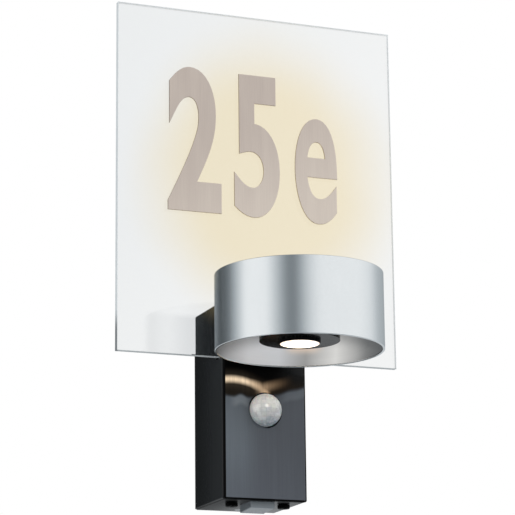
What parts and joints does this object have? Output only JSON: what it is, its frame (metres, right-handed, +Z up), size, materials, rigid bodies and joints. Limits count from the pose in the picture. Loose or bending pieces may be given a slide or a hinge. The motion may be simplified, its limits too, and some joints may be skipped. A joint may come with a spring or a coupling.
{
  "type": "outdoor wall light",
  "caption": "Outdoor wall light with an up and down shining round head, a motion sensor box and a clear glass plate for a house number.",
  "frame": {"origin": "on the wall plane, in the middle of the wall plate's two fixing slots, at half the housing's height", "axes": "+Z up; +Y into the wall, the light faces -Y; +X to the right for someone who faces the light"},
  "size_m": [0.2, 0.1735, 0.341],
  "materials": {
    "housing_coat": "fine matte black powder coat",
    "front_panel": "black anodised, fine upright brushing",
    "clear_glass": "clear float glass, ground edges",
    "satin_aluminium": "satin, fine upright grain",
    "reflector": "matte spun",
    "black_gloss": "high gloss black",
    "black_plastic": "moulded black",
    "grey_plastic": "moulded light grey",
    "sensor_lens": "milky, faceted inside",
    "lens": "frosted warm white",
    "rubber": "black sealing rubber",
    "clear_silicone": "soft pad",
    "zinc_steel": "zinc plated",
    "cast_aluminium": "as cast",
    "board": "circuit board",
    "white_board": "white solder mask",
    "emitter": "yellow phosphor",
    "driver_case": "white moulded case",
    "brass": "turned"
  },
  "bodies": {
    "light": {"wall_plate": "zinc_steel", "wall_gasket": "rubber", "cable_grommet": "rubber", "earth_screw": "brass", "lock_screw": "zinc_steel", "terminal_block": "grey_plastic", "terminal_screws": "brass", "housing": "housing_coat", "front_panel": "front_panel", "glass_plate": "clear_glass", "glass_rest_pads": "clear_silicone", "glass_clamp_pads": "clear_silicone", "glass_clamp_screws": "zinc_steel", "head_neck": "housing_coat", "neck_seal": "rubber", "neck_nut": "zinc_steel", "neck_screws": "zinc_steel", "head_ring": "satin_aluminium", "head_core": "cast_aluminium", "lower_reflector": "reflector", "upper_reflector": "reflector", "lower_lamp_holder": "black_gloss", "upper_lamp_holder": "black_gloss", "lower_lens": "lens", "upper_lens": "lens", "lower_led_board": "white_board", "upper_led_board": "white_board", "led_emitters": "emitter", "holder_screws": "zinc_steel", "sensor_dome": "sensor_lens", "sensor_bezel": "black_plastic", "sensor_board": "board", "pir_element": "zinc_steel", "potentiometers": "grey_plastic", "sensor_carrier": "grey_plastic", "sensor_foot": "grey_plastic", "led_driver": "driver_case", "driver_screws": "zinc_steel"},
    "time_dial": {"time_dial": "black_plastic", "time_dial_clip": "zinc_steel"},
    "twilight_dial": {"twilight_dial": "black_plastic", "twilight_dial_clip": "zinc_steel"}
  },
  "joints": [
    {"name": "time_dial_turn", "type": "hinge", "parent": "light", "child": "time_dial", "pos_m": [-0.0184, -0.0426, -0.0666], "axis": [0, 0, -1], "range_deg": [-135, 135]},
    {"name": "twilight_dial_turn", "type": "hinge", "parent": "light", "child": "twilight_dial", "pos_m": [0.0184, -0.0426, -0.0666], "axis": [0, 0, -1], "range_deg": [-135, 135]}
  ]
}
